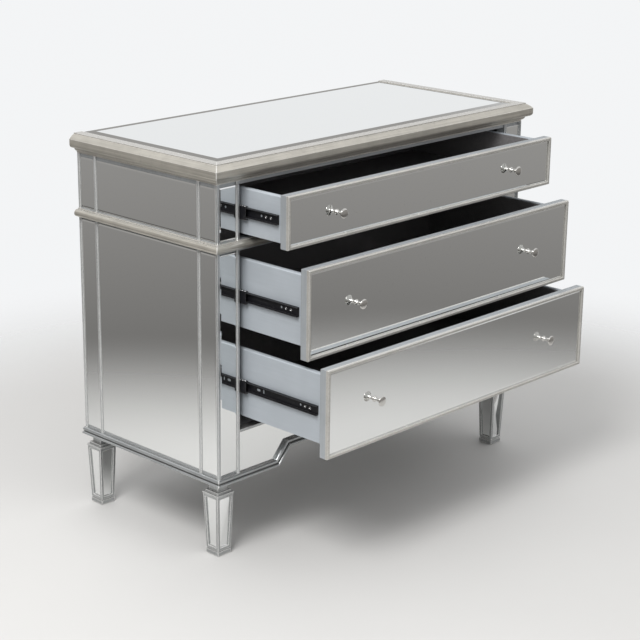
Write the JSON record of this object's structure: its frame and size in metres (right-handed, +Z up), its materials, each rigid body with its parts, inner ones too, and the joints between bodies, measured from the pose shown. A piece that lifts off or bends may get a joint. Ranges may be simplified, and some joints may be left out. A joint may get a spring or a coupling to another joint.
{
  "type": "mirrored chest of drawers",
  "caption": "Mirror-clad chest with silver-leaf mouldings, an arched apron and tapered square legs; its drawers roll out on ball-bearing slides.",
  "frame": {"origin": "on the floor, under the middle of the bounding box of the chest as it stands with its drawers pulled out", "axes": "+X to the viewer's right, the front faces -Y, +Z up"},
  "size_m": [1.03, 0.7179, 0.8635],
  "materials": {
    "case_board": "painted silver grey, satin",
    "back_board": "painted dark, matt",
    "silver_leaf": "silver leaf, rubbed satin",
    "mirror_glass": "silvered glass, polished",
    "black_glide": "matt",
    "slide_steel": "black, satin",
    "cage_steel": "blackened, greased",
    "drawer_front": "painted silver, satin",
    "drawer_side": "painted pale silver, satin",
    "drawer_lining": "painted black, satin",
    "knob_chrome": "polished"
  },
  "bodies": {
    "case": {"left_side_panel": "case_board", "right_side_panel": "case_board", "top_board": "case_board", "bottom_panel": "case_board", "front_stiles": "case_board", "top_rail": "case_board", "waist_rail": "case_board", "corner_blocks": "case_board", "slide_battens": "case_board", "back_panel": "back_board", "apron": "silver_leaf", "top_moulding_front": "silver_leaf", "top_moulding_left": "silver_leaf", "top_moulding_right": "silver_leaf", "waist_moulding_front": "silver_leaf", "waist_moulding_left": "silver_leaf", "waist_moulding_right": "silver_leaf", "base_moulding_front": "silver_leaf", "base_moulding_left": "silver_leaf", "base_moulding_right": "silver_leaf", "side_trims": "silver_leaf", "stile_trims": "silver_leaf", "front_left_leg": "silver_leaf", "front_right_leg": "silver_leaf", "back_left_leg": "silver_leaf", "back_right_leg": "silver_leaf", "top_mirror": "mirror_glass", "side_mirrors": "mirror_glass", "stile_mirrors": "mirror_glass", "apron_mirror": "mirror_glass", "leg_mirrors": "mirror_glass", "foot_glides": "black_glide", "case_slides": "slide_steel"},
    "top_drawer": {"top_drawer_front": "drawer_front", "top_drawer_frame": "silver_leaf", "top_drawer_mirror": "mirror_glass", "top_drawer_sides": "drawer_side", "top_drawer_back": "drawer_lining", "top_drawer_bottom": "drawer_lining", "top_drawer_knobs": "knob_chrome", "top_drawer_slides": "slide_steel"},
    "middle_drawer": {"middle_drawer_front": "drawer_front", "middle_drawer_frame": "silver_leaf", "middle_drawer_mirror": "mirror_glass", "middle_drawer_sides": "drawer_side", "middle_drawer_back": "drawer_lining", "middle_drawer_bottom": "drawer_lining", "middle_drawer_knobs": "knob_chrome", "middle_drawer_slides": "slide_steel"},
    "bottom_drawer": {"bottom_drawer_front": "drawer_front", "bottom_drawer_frame": "silver_leaf", "bottom_drawer_mirror": "mirror_glass", "bottom_drawer_sides": "drawer_side", "bottom_drawer_back": "drawer_lining", "bottom_drawer_bottom": "drawer_lining", "bottom_drawer_knobs": "knob_chrome", "bottom_drawer_slides": "slide_steel"},
    "top_drawer_ball_cages": {"top_drawer_ball_cages": "cage_steel"},
    "middle_drawer_ball_cages": {"middle_drawer_ball_cages": "cage_steel"},
    "bottom_drawer_ball_cages": {"bottom_drawer_ball_cages": "cage_steel"}
  },
  "joints": [
    {"name": "top_drawer_slide", "type": "slide", "parent": "case", "child": "top_drawer", "axis": [0, -1, 0], "range_m": [-0.14, 0.124]},
    {"name": "middle_drawer_slide", "type": "slide", "parent": "case", "child": "middle_drawer", "axis": [0, -1, 0], "range_m": [-0.198, 0.066]},
    {"name": "bottom_drawer_slide", "type": "slide", "parent": "case", "child": "bottom_drawer", "axis": [0, -1, 0], "range_m": [-0.254, 0.01]},
    {"name": "top_drawer_ball_cages_run", "type": "slide", "parent": "case", "child": "top_drawer_ball_cages", "axis": [0, -1, 0], "range_m": [-0.07, 0.062]},
    {"name": "middle_drawer_ball_cages_run", "type": "slide", "parent": "case", "child": "middle_drawer_ball_cages", "axis": [0, -1, 0], "range_m": [-0.099, 0.033]},
    {"name": "bottom_drawer_ball_cages_run", "type": "slide", "parent": "case", "child": "bottom_drawer_ball_cages", "axis": [0, -1, 0], "range_m": [-0.127, 0.005]}
  ],
  "couplings": [
    {"joint": "top_drawer_ball_cages_run", "follows": "top_drawer_slide", "ratio": 0.5},
    {"joint": "middle_drawer_ball_cages_run", "follows": "middle_drawer_slide", "ratio": 0.5},
    {"joint": "bottom_drawer_ball_cages_run", "follows": "bottom_drawer_slide", "ratio": 0.5}
  ]
}
